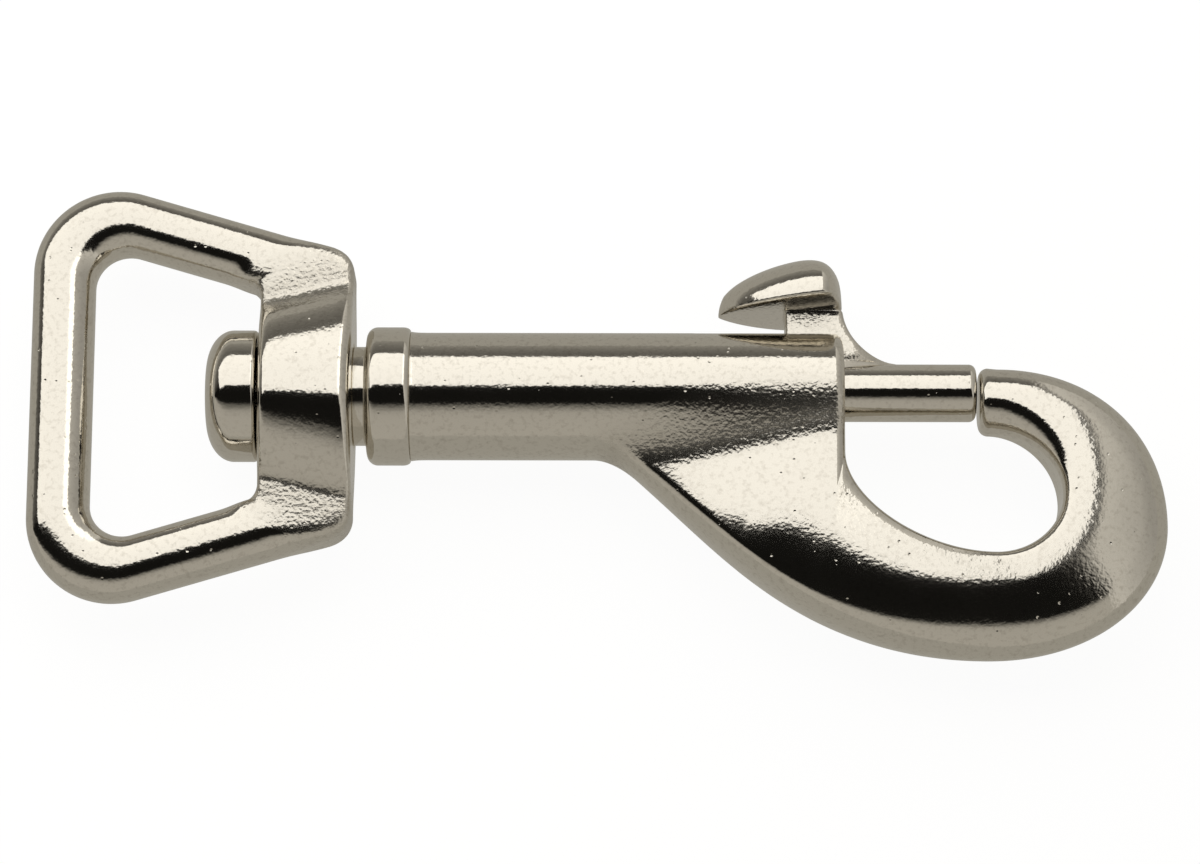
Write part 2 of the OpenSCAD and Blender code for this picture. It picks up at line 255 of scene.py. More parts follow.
nickel = dict(
    colour=(0.72, 0.685, 0.615, 1),
    # the darker colour: painted shade in the fillets, and the pits and specks
    paintedShadeAndSpeckColour=(0.60, 0.565, 0.50, 1),
    roughness=0.07,
    grainRoughness=0.10,
    peelScale=900,        # soft waves about a millimetre long
    peelDepth=0.0000018,
    grainScale=3400,      # cast grain about a quarter of a millimetre across
    grainDepth=0.0000320,
    patchScale=260,       # it comes in patches about four millimetres across
    patchGrain=0.495,
    castGrain=2.4,        # and is coarse where the casting is hollow
    pitScale=1300,
    pitShare=0.34,        # the share of the pattern's cells that carry a pit
    pitRadius=0.15,
    pitDepth=0.000030,
    speckScale=2600,
    speckle=4.0,
    hollowPaintedShade=0.5,       # how far the painted shade in the hollows, and the pits, take the darker colour
    pitTone=0.6,
)


def nickelPlate(name, grain=1.0, peel=1.0, shade=1.0):
    # bright metal, its surface raised by noise * (patches + hollows) for the grain, by a soft
    # noise for the waves, and lowered in the pits
    material = bpy.data.materials.new(name)
    material.use_nodes = True
    add, put, calc = nodeKit(material.node_tree)
    output = add("ShaderNodeOutputMaterial")
    shader = add("ShaderNodeBsdfPrincipled")
    put(1, shader.inputs["Metallic"])
    put(shader.outputs["BSDF"], output.inputs["Surface"])
    coordinates = add("ShaderNodeTexCoord").outputs["Object"]
    # the castGrain attribute gives coarser grain, and painted shade in the colour
    hollow = add("ShaderNodeAttribute", attribute_name="castGrain").outputs["Fac"]

    def noise(scale, detail, roughness=0.5):
        node = add("ShaderNodeTexNoise")
        put(scale, node.inputs["Scale"])
        put(detail, node.inputs["Detail"])
        put(roughness, node.inputs["Roughness"])
        put(coordinates, node.inputs["Vector"])
        return node.outputs["Fac"]

    # grain, soft waves and pits
    patch = calc("MULTIPLY", noise(nickel["patchScale"], 2), nickel["patchGrain"])
    amount = calc("ADD", patch, calc("MULTIPLY", hollow, nickel["castGrain"]))
    fine = calc("MULTIPLY", calc("SUBTRACT", noise(nickel["grainScale"], 1), 0.5), amount)
    grainHeight = calc("MULTIPLY", fine, nickel["grainDepth"] * grain)
    peelHeight = calc("MULTIPLY", noise(nickel["peelScale"], 1), nickel["peelDepth"] * peel)
    # a pit is a cone in the middle of a cell, in some of the cells
    spots = add("ShaderNodeTexVoronoi")
    put(nickel["pitScale"], spots.inputs["Scale"])
    put(coordinates, spots.inputs["Vector"])
    chance = add("ShaderNodeSeparateColor")
    put(spots.outputs["Color"], chance.inputs["Color"])
    chosen = calc("GREATER_THAN", chance.outputs["Red"], 1 - nickel["pitShare"])
    fromPit = calc("DIVIDE", spots.outputs["Distance"], nickel["pitRadius"])
    pit = calc("MULTIPLY", calc("SUBTRACT", 1, fromPit, clamp=True), chosen)
    pitHeight = calc("MULTIPLY", pit, -nickel["pitDepth"] * grain)
    bump = add("ShaderNodeBump")
    put(1, bump.inputs["Distance"])
    put(1, bump.inputs["Strength"])
    put(calc("ADD", calc("ADD", grainHeight, peelHeight), pitHeight), bump.inputs["Height"])
    put(bump.outputs["Normal"], shader.inputs["Normal"])

    # gloss: a little duller in the grain
    dull = calc("MULTIPLY", amount, nickel["grainRoughness"] * grain)
    put(calc("ADD", dull, nickel["roughness"]), shader.inputs["Roughness"])

    # colour: warm plate, with painted shade in the hollows of the fillets, and darker in pits and specks
    specks = calc("SUBTRACT", noise(nickel["speckScale"], 2, 0.6), 0.5)
    speckle = calc("MULTIPLY", specks, nickel["speckle"] * grain, clamp=True)
    pitTone = calc("MULTIPLY", pit, nickel["pitTone"])
    # painted shade: the fillets' hollows are darkened toward the darker colour, and the pits are added
    shadeAndPits = calc("ADD", calc("MULTIPLY", hollow, nickel["hollowPaintedShade"]), pitTone)
    tone = add("ShaderNodeMix", data_type="RGBA")
    put(calc("ADD", shadeAndPits, speckle, clamp=True), tone.inputs["Factor"])
    for socket, colour in zip(colourSockets(tone.inputs), (nickel["colour"], nickel["paintedShadeAndSpeckColour"])):
        put([channel * shade for channel in colour[:3]] + [1], socket)
    put(colourSockets(tone.outputs)[0], shader.inputs["Base Color"])
    return material


castNickel = nickelPlate("castNickel")
boltNickel = nickelPlate("boltNickel", grain=0.8, peel=0.8)
turnedNickel = nickelPlate("turnedNickel", grain=0.55, peel=0.7)

# Hook body: barrel, web and hook in one casting

hook = dict(
    barrelRear=hookLow[0],
    barrelFront=57.55,
    barrelRadius=4.7,
    rearEdge=0.12,
    rearLip=0.1,          # the pressed stud has spread the barrel's rear end this much
    lipLength=0.3,
    webStart=14.55,       # behind this the barrel is bare
    webLead=2.0,
    webTop=0.6,           # the web's plate reaches this near to the barrel's axis
    webSink=0.3,          # its edge starts this far inside the barrel
    webWay=(7.35, -6.15), # the way that the edge leaves it
    webSweep=13.9,        # and how far before the bend's bottom it turns level
    wallDrop=0.3,         # the front wall's foot below the barrel
    drop=19.8,            # depth of the bend below the swivel axis
    armWidth=7.5,
    sideWidth=7.8,
    sideLift=0.2,         # the arm's far side lies this far above half the depth
    sideHeight=1.9,       # and the opening's far side this far above the arm's
    gape=15.9,            # length of the opening
    bendShare=0.66,       # places of the bend's bottom and of the tip along the opening
    tipShare=0.63,
    innerShift=0.4,       # the opening's lowest place lies this far beyond the bend's
    fullness=dict(near=0.48, farInner=0.54, farOuter=0.57, topInner=0.54, topOuter=0.59),
    tipDiameter=5.0,
    tipEdge=0.7,
    tipHeight=-0.38,
    tipRun=(0.7, 1.4),    # how long the tip's inner and outer edge run straight
    tipSink=0.08,         # the tip's outer edge rises this much towards its end
    edgePower=2.3,        # squareness of the arm's edge, and of the tip's
    tipPower=2.0,
    grainShadeReach=1.2,       # the width of the coarse grain and the painted shade, in widths of the fillet
    boreRadius=2.205,
    boreHeight=boltAxis,
    boreEdge=(0.2, 0.22), # length and depth of the edge at the bore's mouth
    spigotRadius=2.88,
    spigotDepth=5.0,
    slotStart=46.5,
    slotFloor=0.2,        # the slot goes down to here, inside the bore
    slotWidth=3.08,
    slotEdge=0.06,
    around=168,
)

# The arm's section at places from the web's start (0) past the foot of the barrel's front
# wall (1), the bottom of the bend (2) and its far side (3) to the tip (4)
section = dict(
    place=(0, 0.3, 0.46, 0.6, 0.8, 1, 2, 3, 4),
    half=(2.4, 2.6, 2.95, 3.7, 4.1, 4.05, 3.4, 3.1, 2.5),      # half thickness at the crest
    crest=(0.6, 0.6, 0.6, 0.6, 0.6, 0.62, 0.76, 0.76, 0.5),    # its share of the width, from outside
    fall=(0.3, 0.4, 0.5, 0.65, 0.9, 1.2, 1.6, 1.3, 0.0),       # the crown's fall to the outer edge
    fallPower=(4.0, 4.0, 4.0, 4.0, 3.6, 2.9, 2.0, 2.0, 2.0),
    lip=(0.0, 0.0, 0.0, 0.0, 0.0, 0.0, 0.06, 0.1, 0.0),        # and its fall to the inner edge
    outerRound=(0.9, 1.3, 1.4, 1.2, 1.1, 1.2, 2.3, 2.4, 2.5),  # widths of the edges' rounding
    innerRound=(0.75, 0.75, 0.75, 0.75, 0.75, 0.7, 0.7, 0.9, 2.5),
    fillet=(1.0, 1.8, 2.0, 1.3, 0.9, 0.9, 0.5, 0.5, 0.5),      # between the barrel and the web
)


def hookOutline(v):
    # Two matching outlines of the casting seen from above: the upper or inner one and the
    # outer one. A cross-section joins each pair of points. Also each section's place between
    # the stations, its outer end, the way out of its inner wall, and its rays' middle.
    front, rear, r = v["barrelFront"], v["barrelRear"], v["barrelRadius"]
    webX, lead = rear + v["webStart"], v["webLead"]
    bendX, tipX = front + v["gape"] * v["bendShare"], front + v["gape"] * v["tipShare"]
    tipR, tipY = v["tipDiameter"] / 2, v["tipHeight"]
    sideY = -v["drop"] / 2 + v["sideLift"]
    foot = np.array([front, -r - v["wallDrop"]])
    webOuter = np.array([webX, -r + v["webSink"]])
    webWay = np.array(v["webWay"])
    bottomOuter = np.array([bendX, -v["drop"]])
    bottomInner = np.array([bendX + v["innerShift"], -v["drop"] + v["armWidth"]])
    sideOuter = np.array([front + v["gape"] + v["sideWidth"], sideY])
    sideInner = np.array([front + v["gape"], sideY + v["sideHeight"]])
    topInner = np.array([tipX + v["tipRun"][0], tipY - tipR])
    topOuter = np.array([tipX + v["tipRun"][1], tipY + tipR - v["tipSink"]])
    full = v["fullness"]
    footShare = 0.62      # the share of the web's edge behind the section at the wall's foot

    def crossing(upright, level):
        # the corner straight above or below the first point, at the second one's height
        return np.array([upright[0], level[1]])

    def web(t):
        # the web's outer edge, an S from the barrel to the bend's bottom
        return curvePoints(webOuter, webOuter + webWay, bottomOuter - [v["webSweep"], 0], bottomOuter, t)

    # bare barrel, its rings closest at the rear end
    x = mix(rear, webX - lead, np.linspace(0, 1, 34) ** 2)
    bareInner = np.stack([x, np.full_like(x, r)], axis=1)
    # barrel and web: the inner outline runs along the barrel and down its front wall
    webInner = evenSteps(np.array([[webX - lead, r], [front, r], foot]), 200)[1:]
    webEdge = evenSteps(np.concatenate([[[webX - lead, -r]], web(np.linspace(0, footShare, 80))]), 200)[1:]
    # round the near part of the opening, the far side, the top, and the tip
    t = np.linspace(0, 1, 80)[1:]
    nearInner = bendPoints(foot, crossing(foot, bottomInner), bottomInner, full["near"], t)
    nearEdge = web(mix(footShare, 1, t))
    t = np.linspace(0, 1, 90)[1:]
    farInner = bendPoints(bottomInner, crossing(sideInner, bottomInner), sideInner, full["farInner"], t)
    farEdge = bendPoints(bottomOuter, crossing(sideOuter, bottomOuter), sideOuter, full["farOuter"], t)
    topInnerEdge = bendPoints(sideInner, crossing(sideInner, topInner), topInner, full["topInner"], t)
    topOuterEdge = bendPoints(sideOuter, crossing(sideOuter, topOuter), topOuter, full["topOuter"], t)
    turn = np.radians(np.linspace(0, 90, 12))[1:]
    x = tipX + v["tipEdge"] * (1 - np.sin(turn))
    tipHalf = tipR - v["tipEdge"] * (1 - np.cos(turn))
    tipInner = np.stack([x, tipY - tipHalf], axis=1)
    tipOuter = np.stack([x, tipY + tipHalf], axis=1)

    inner = np.concatenate([bareInner, webInner, nearInner, farInner, topInnerEdge, tipInner])
    outer = np.concatenate([bareInner * [1, -1], webEdge, nearEdge, farEdge, topOuterEdge, tipOuter])
    counts = [len(part) for part in (bareInner, webInner, nearInner, farInner, topInnerEdge, tipInner)]
    starts = np.cumsum([0] + counts)
    place = np.concatenate([np.zeros(counts[0])] + [
        k + np.linspace(0, 1, counts[k + 1], endpoint=False) for k in range(4)] + [np.full(counts[5], 4.0)])
    hasPlate = np.arange(len(inner)) >= starts[1]
    hasBarrel = np.arange(len(inner)) < starts[2]
    small = np.concatenate([np.ones(starts[5]), tipHalf / tipR])

    # the web grows out of the barrel: its edge runs on straight into the barrel
    outerEnd = outer.copy()
    onLead = (outer[:, 0] < webX) & hasPlate
    outerEnd[onLead, 1] = webOuter[1] + (outer[onLead, 0] - webX) * webWay[1] / webWay[0]
    # the way out of the material at the inner edge
    tangent = np.gradient(inner, axis=0)
    wallWay = np.stack([tangent[:, 1], -tangent[:, 0]], axis=1)
    wallWay = wallWay / np.linalg.norm(wallWay, axis=1)[:, None]
    wallWay = wallWay * -np.sign(np.einsum("ij,ij->i", wallWay, outer - inner))[:, None]
    wallPoint = inner.copy()
    wallWay[hasBarrel], wallPoint[hasBarrel] = [1, 0], [front, 0]
    inward = (inner - outer) / np.linalg.norm(inner - outer, axis=1)[:, None]
    wallWay[starts[5] - 2:] = inward[starts[5] - 2:]

    # the middle that the section's rays leave from, as a share of the way to the outer edge:
    # it sinks from the barrel's axis into the web
    middle = np.full(len(inner), 0.5)
    onWeb = slice(starts[1], starts[2])
    raySink = 3.4
    rayY = -raySink * ease(place[onWeb] / 0.35)
    share = (inner[onWeb, 1] - rayY) / (inner[onWeb, 1] - outer[onWeb, 1])
    middle[onWeb] = mix(share, 0.5, ease((place[onWeb] - 0.72) / 0.28))
    return inner, outer, outerEnd, place, small, hasPlate, hasBarrel, wallPoint, wallWay, middle


def stationValue(key, place):
    # straight runs between the stations, with their corners smoothed over by averaging
    # twice over an eighth of a station to both sides
    perStation, half = 200, 25
    fine = np.linspace(0, 4, 4 * perStation + 1)
    value = np.interp(fine, section["place"], section[key])
    for _ in range(2):
        padded = np.concatenate([np.full(half, value[0]), value, np.full(half, value[-1])])
        value = np.convolve(padded, np.full(2 * half + 1, 1 / (2 * half + 1)), mode="valid")
    return np.interp(place, fine, value)


def castSkin(v):
    # The casting's skin as rings. Each ring's radius at an angle is where a ray in its
    # section leaves the solid. The solid is the union of two forms, the barrel, a cylinder
    # along X, and the arm's plate, cut off by the wall of the opening. The plate's surface
    # is |z| = crown * (1 - s^n)^(1/n), where the crown falls as a parabola to both sides of
    # its crest and s rises from 0 to 1 over the rounding of the outer edge. The union is
    # filleted, and the cut leaves a rounded edge.
    inner, outer, outerEnd, place, small, hasPlate, hasBarrel, wallPoint, wallWay, middle = hookOutline(v)
    start = mix(inner, outer, middle[:, None])
    along = outer - inner
    width = np.linalg.norm(along, axis=1)
    along = along / width[:, None]
    endPlace = np.einsum("ij,ij->i", outerEnd - start, along)
    value = {key: stationValue(key, place) for key in section if key != "place"}
    for key in ("half", "outerRound", "innerRound"):
        value[key] = value[key] * small
    power = mix(v["edgePower"], v["tipPower"], ease(place - 3))
    absent = 50           # the distance from a form that the section hasn't got

    def column(values, like):
        # one value for each ring, in a shape that goes with all of its rays
        return values.reshape((-1,) + (1,) * (like.ndim - 1))

    def formDistances(angle, radius):
        # distances from the barrel's side, the plate and the wall, negative inside
        q, z = radius * np.cos(angle), radius * np.sin(angle)
        x = column(start[:, 0], q) + column(along[:, 0], q) * q
        y = column(start[:, 1], q) + column(along[:, 1], q) * q
        rearGap = v["barrelRear"] - x
        spread = v["rearLip"] * np.exp(np.minimum(rearGap, 1) / v["lipLength"])
        side = roundedCut(np.hypot(y, z) - v["barrelRadius"] - spread, rearGap, v["rearEdge"])
        side = np.where(column(hasBarrel, q), side, absent)
        toEnd = column(endPlace, q) - q
        crest = column(value["crest"] * width, q)
        outward = np.clip((crest - toEnd) / crest, 0, 1.2)
        inward = np.clip((toEnd - crest) / (column(width, q) - crest), 0, 1.2)
        outerFall = column(value["fall"], q) * outward ** column(value["fallPower"], q)
        crown = column(value["half"], q) - outerFall - column(value["lip"], q) * inward ** 2
        roundWidth, n = column(value["outerRound"], q), column(power, q)
        s = np.maximum((roundWidth - toEnd) / roundWidth, 0) + 1e-9
        h = np.abs(z) / crown + 1e-9
        level = (s ** n + h ** n) ** (1 / n)
        slope = np.hypot(s ** (n - 1) / roundWidth, h ** (n - 1) / crown) * level ** (1 - n)
        plate = np.where(column(hasPlate, q), (level - 1) / slope, absent)
        # the web's plate ends inside the barrel
        plate = np.where(column(hasBarrel, q), np.maximum(plate, y + v["webTop"]), plate)
        px, py = column(wallPoint[:, 0], q), column(wallPoint[:, 1], q)
        wall = (x - px) * column(wallWay[:, 0], q) + (y - py) * column(wallWay[:, 1], q)
        return side, plate, wall

    def formDistance(angle, radius):
        # distance from the whole casting: both forms joined by the fillet, less the opening
        side, plate, wall = formDistances(angle, radius)
        joined = -smoothMax(-side, -plate, column(value["fillet"], side))
        return roundedCut(joined, wall, column(value["innerRound"], side))

    def exitRadius(angle):
        # the first step outwards on which the distance turns positive, then halving; no ray
        # is longer than the casting is deep
        steps = np.linspace(0.05, 19, 96)
        outside = formDistance(angle[:, :, None], steps) > 0
        first = np.maximum(outside.argmax(axis=2), 1)
        near, far = steps[first - 1], steps[first]
        for _ in range(24):
            centre = (near + far) / 2
            out = formDistance(angle, centre) > 0
            far = np.where(out, centre, far)
            near = np.where(out, near, centre)
        return (near + far) / 2

    # spread the rays so that the points lie evenly round each ring, closer on its corners
    count = v["around"]
    evenAngle = np.linspace(0, 2 * np.pi, count + 1)
    angle = np.tile(evenAngle[:-1], (len(start), 1))
    for _ in range(2):
        radius = exitRadius(angle)
        point = radius * np.exp(1j * angle)
        step = np.roll(point, -1, axis=1) - point
        bend = np.abs(np.angle(step / np.roll(step, 1, axis=1)))
        load = np.abs(step) + 0.5 * (bend + np.roll(bend, -1, axis=1))
        run = np.concatenate([np.zeros((len(load), 1)), np.cumsum(load, axis=1)], axis=1)
        shut = np.concatenate([angle, angle[:, :1] + 2 * np.pi], axis=1)
        wanted = np.linspace(0, run[:, -1], count, endpoint=False, axis=1)
        angle = np.array([np.interp(w, r, a) for w, r, a in zip(wanted, run, shut)])
    radius = exitRadius(angle)
    q, z = radius * np.cos(angle), radius * np.sin(angle)
    x = start[:, :1] + along[:, :1] * q
    y = start[:, 1:] + along[:, 1:] * q
    side, plate, wall = formDistances(angle, radius)
    # grain and painted shade: 1 in the middle of the fillet, where both forms are equally near
    hollow = np.clip(1 - np.abs(side - plate) / value["fillet"][:, None] / v["grainShadeReach"], 0, 1)
    hollow = np.where((hasPlate & hasBarrel)[:, None], hollow, 0)
    return np.stack([x, y, z], axis=-1), hollow


def boreCutter(v):
    # the bore and the wider hole for the stud's spigot, with a small edge at the mouth
    rear, front, r, wide = v["barrelRear"], v["barrelFront"], v["boreRadius"], v["spigotRadius"]
    shoulder = rear + v["spigotDepth"]
    mouth, widened = v["boreEdge"]
    profile = np.array([
        [rear - 1, wide], [shoulder, wide], [shoulder + 0.01, r], [front - mouth, r],
        [front + 0.05, r + widened], [front + 6, r + widened]])
    height = np.array([0, 0] + [v["boreHeight"]] * 4)
    return lathe("boreCutter", profile, 96, height)


def slotCutter(v):
    # a channel whose upper edges flare outwards, so that the slot's edges come out rounded,
    # and which reaches well above the barrel
    half, edge, top = v["slotWidth"] / 2, v["slotEdge"], v["barrelRadius"] + 3.3
    lip = math.sqrt(v["barrelRadius"] ** 2 - half ** 2)
    turn = np.radians(np.linspace(180, 90, 7))
    flareZ = half + edge + edge * np.cos(turn)
    flareY = lip - edge + edge * np.sin(turn)
    floor = [[v["slotFloor"], half]]
    right = np.concatenate([floor, np.stack([flareY, flareZ], axis=1), [[top, half + edge + 0.3]]])
    ring = np.concatenate([right, (right * [1, -1])[::-1]])
    # its rear end is rounded in two steps
    x = np.array([v["slotStart"], v["slotStart"] + 0.12, v["slotStart"] + 0.4, v["barrelFront"] + 2])
    narrow = np.array([0.75, 0.92, 1, 1])
    y = np.tile(ring[:, 0], (len(x), 1))
    z = ring[:, 1] * narrow[:, None]
    grid = np.stack([np.repeat(x[:, None], len(ring), axis=1), y, z], axis=-1)
    return meshFromGrid("slotCutter", grid)


print("Casting the hook body")
skin, hollow = castSkin(hook)
hookPiece = meshFromGrid("hookBody", skin, values=hollow)
combine(hookPiece, boreCutter(hook), "DIFFERENCE")
combine(hookPiece, slotCutter(hook), "DIFFERENCE")
finishPiece(hookPiece, castNickel, "body", "hook_body")

# Swivel eye: strap bar, arms and bored neck in one casting

eye = dict(
    height=31.2,
    barWidth=4.6,
    barThick=4.6,
    outerCorner=6.3,
    innerCorner=2.5,
    neckStart=14.65,
    neckLength=6.9,
    neckHeight=21.5,
    neckCorner=2.3,
    crotch=1.1,           # rounding between an arm and the neck, in the slot
    bossThick=11.19,
    bossRadius=9.2,
    bossFillet=0.9,
    bossFlat=0.45,        # how much flatter the boss is at its top, and how wide that is
    bossFlatWidth=1.6,
    grainShadePlace=8.3,       # the coarse grain and painted shade beside the boss: its middle and its half width
    grainShadeWidth=1.5,
    barSquare=2.35,       # squareness of the bar's section and of the neck's
    neckSquare=9.0,
    boreRadius=3.73,
    boreEdge=0.25,
    around=72,
)


def cornerArc(centre, radius, fromAngle, toAngle, count):
    # part of a circle in the plane of the eye, angles in degrees
    angle = np.radians(np.linspace(fromAngle, toAngle, count))
    return centre + radius * np.stack([np.cos(angle), np.sin(angle)], axis=1)


def eyeSkin(v):
    # A closed loop of sections. Each section joins a point of the inner outline to the
    # matching point of the outer one, and is the oval |q/w|^n + |z/h|^n = 1. The half
    # thickness h follows the boss's arc across the neck, and the squareness n rises there.
    w, outR, inR = v["barWidth"] / 2, v["outerCorner"], v["innerCorner"]
    neckX, neckEnd = v["neckStart"], v["neckStart"] + v["neckLength"]
    outCentre = np.array([outR - w, v["height"] / 2 - outR])
    outEnd = np.array([neckX + v["neckLength"] * 0.85, v["neckHeight"] / 2 + 0.2])
    run = outEnd - outCentre
    slope = math.degrees(math.atan2(run[1], run[0]) - math.asin(outR / np.hypot(*run)))
    direction = np.array([math.cos(math.radians(slope)), math.sin(math.radians(slope))])
    normal = np.array([-direction[1], direction[0]])
    # the arm's two edges are parallel, a bar width apart
    outLine = outCentre + outR * normal
    inLine = outLine - v["barWidth"] * normal
    # inner corner's centre: inR from the bar's inner face and from the arm's inner edge
    inX = w + inR
    inY = inLine[1] + (inX - inLine[0]) * direction[1] / direction[0] - inR / direction[0]
    inCentre = np.array([inX, inY])

    def onLine(point, x):
        # the place at x on a line through the point, along the arm
        return np.array([x, point[1] + (x - point[0]) * direction[1] / direction[0]])

    # outer neck corner: neckCorner from the arm's outer edge and the neck's far face
    farX = neckEnd - v["neckCorner"]
    farCentre = onLine(outLine, farX) - np.array([0, v["neckCorner"] / direction[0]])
    # crotch between the arm's inner edge and the neck's near face, hollow to the slot
    nearX = neckX - v["crotch"]
    nearCentre = onLine(inLine, nearX) - np.array([0, v["crotch"] / direction[0]])
    up = 90 + slope
    pieces = [
        (np.array([[-w, 0], [-w, outCentre[1]]]), np.array([[w, 0], [w, inCentre[1]]]), 40),
        (cornerArc(outCentre, outR, 180, up, 60), cornerArc(inCentre, inR, 180, up, 60), 70),
        (np.array([outLine, farCentre + v["neckCorner"] * normal]),
         np.array([inCentre + inR * normal, nearCentre + v["crotch"] * normal]), 70),
        (cornerArc(farCentre, v["neckCorner"], up, 0, 40),
         cornerArc(nearCentre, v["crotch"], up, 0, 40), 46),
        (np.array([[neckEnd, farCentre[1]], [neckEnd, 0]]),
         np.array([[neckX, nearCentre[1]], [neckX, 0]]), 60),
    ]
    outer = np.concatenate([evenSteps(a, n)[:-1] for a, b, n in pieces] + [[[neckEnd, 0]]])
    inner = np.concatenate([evenSteps(b, n)[:-1] for a, b, n in pieces] + [[[neckX, 0]]])
    # how far each section has turned into the neck: 0.4 along the arm's end, the rest round
    # the corner
    counts = [n - 1 for a, b, n in pieces]
    inNeck = np.concatenate([
        np.zeros(sum(counts[:2])),
        0.4 * ease((np.linspace(0, 1, counts[2], endpoint=False) - 0.72) / 0.28),
        0.4 + 0.6 * ease(np.linspace(0, 1, counts[3], endpoint=False)),
        np.ones(counts[4] + 1)])
    outer = np.concatenate([outer, (outer * [1, -1])[-2:0:-1]])
    inner = np.concatenate([inner, (inner * [1, -1])[-2:0:-1]])
    inNeck = np.concatenate([inNeck, inNeck[-2:0:-1]])
    middle, w = (outer + inner) / 2, np.linalg.norm(outer - inner, axis=1) / 2
    along = (outer - inner) / (2 * w[:, None])
    # the boss swells in an arc, a little flattened at the top, and meets the flat of the
    # neck in a small fillet
    bossDrop = v["bossRadius"] - v["bossThick"] / 2
    flat = middle[:, 1] * (1 - v["bossFlat"] * np.exp(-(middle[:, 1] / v["bossFlatWidth"]) ** 2))
    arc = np.sqrt(np.maximum(v["bossRadius"] ** 2 - flat ** 2, 0)) - bossDrop
    thin = v["barThick"] / 2
    swollen = smoothMax(np.full(len(arc), thin), arc, v["bossFillet"])
    half = np.where(inNeck > 0.3, mix(thin, swollen, ease((inNeck - 0.3) / 0.6)), thin)
    half = np.minimum(half, v["bossThick"] / 2)
    square = mix(v["barSquare"], v["neckSquare"], inNeck ** 1.5)
    # points gather at the section's corners as it turns square
    turn = np.linspace(0, 2 * np.pi, v["around"], endpoint=False)
    across = signedPower(np.cos(turn), 2 / square[:, None])
    rise = signedPower(np.sin(turn), 2 / square[:, None])
    x = middle[:, :1] + along[:, :1] * across * w[:, None]
    y = middle[:, 1:] + along[:, 1:] * across * w[:, None]
    z = rise * half[:, None]
    # grain is coarse, and shade is painted, in the fillets beside the boss
    fillet = np.exp(-((np.abs(middle[:, 1]) - v["grainShadePlace"]) / v["grainShadeWidth"]) ** 2) * (inNeck > 0.2)
    values = np.repeat(fillet[:, None], v["around"], axis=1)
    return np.stack([x, y, z], axis=-1), values


def eyeBore(v):
    # a straight bore through the neck, with a small edge at both ends
    near, far, r, edge = v["neckStart"], v["neckStart"] + v["neckLength"], v["boreRadius"], v["boreEdge"]
    profile = np.array([
        [near - 1, r + edge], [near, r + edge], [near + edge, r],
        [far - edge, r], [far, r + edge], [far + 1, r + edge]])
    return lathe("eyeBore", profile, 96)


print("Casting the swivel eye")
skin, grainAndShade = eyeSkin(eye)
eyePiece = meshFromGrid("swivelEye", skin, closeAlong=True, values=grainAndShade)
combine(eyePiece, eyeBore(eye), "DIFFERENCE")
finishPiece(eyePiece, castNickel, "eye", "swivel_eye")

# Swivel stud: rivet head, shank, collar and spigot, turned in one piece

stud = dict(
    headStart=10.75,
    headThick=3.8,
    headRadius=4.85,
    headFlat=2.1,
    headRound=2.0,        # length of the head's rounding
    headEdge=0.35,
    headFillet=0.3,       # between the head and the shank
    shankRadius=3.65,
    shankFillet=0.2,      # between the shank and the collar
    collarStart=22.55,
    collarThick=3.2,
    collarRadius=5.1,
    collarRearEdge=0.8,
    collarFrontEdge=(0.55, 0.3),   # length and depth
    spigotRadius=2.88,
    spigotLength=4.95,
    spigotEdge=0.3,
)


def studProfile(v):
    # (x, radius) from the rivet head's flat to the spigot's end, every edge part of an ellipse
    head, headEnd = v["headStart"], v["headStart"] + v["headThick"]
    collar, collarEnd = v["collarStart"], v["collarStart"] + v["collarThick"]
    shoulder, end = v["headRadius"] - v["headFlat"], collarEnd + v["spigotLength"]
    headEdge, fillet, shankFillet = v["headEdge"], v["headFillet"], v["shankFillet"]
    rearEdge, endEdge = v["collarRearEdge"], v["spigotEdge"]
    frontLength, frontDepth = v["collarFrontEdge"]
    return np.concatenate([
        [[head, 0.02], [head, v["headFlat"] * 0.7]],
        edgeArc(head + v["headRound"], v["headFlat"], v["headRound"], shoulder, 180, 90, 20),
        edgeArc(headEnd - headEdge, v["headRadius"] - headEdge, headEdge, headEdge, 90, 0, 6),
        [[headEnd, v["shankRadius"] + fillet]],
        edgeArc(headEnd + fillet, v["shankRadius"] + fillet, fillet, fillet, 180, 270, 6),
        edgeArc(collar - shankFillet, v["shankRadius"] + shankFillet,
                shankFillet, shankFillet, 270, 360, 5),
        edgeArc(collar + rearEdge, v["collarRadius"] - rearEdge, rearEdge, rearEdge, 180, 90, 10),
        edgeArc(collarEnd - frontLength, v["collarRadius"] - frontDepth, frontLength, frontDepth, 90, 0, 8),
        [[collarEnd, v["spigotRadius"]], [end - endEdge, v["spigotRadius"]]],
        edgeArc(end - endEdge, v["spigotRadius"] - endEdge, endEdge, endEdge, 90, 0, 5),
        [[end, 0.02]]])


print("Turning the swivel stud")
studPiece = lathe("swivelStud", studProfile(stud))
finishPiece(studPiece, turnedNickel, "body", "swivel_stud")

# Bolt: plunger, post and thumb-piece in one casting

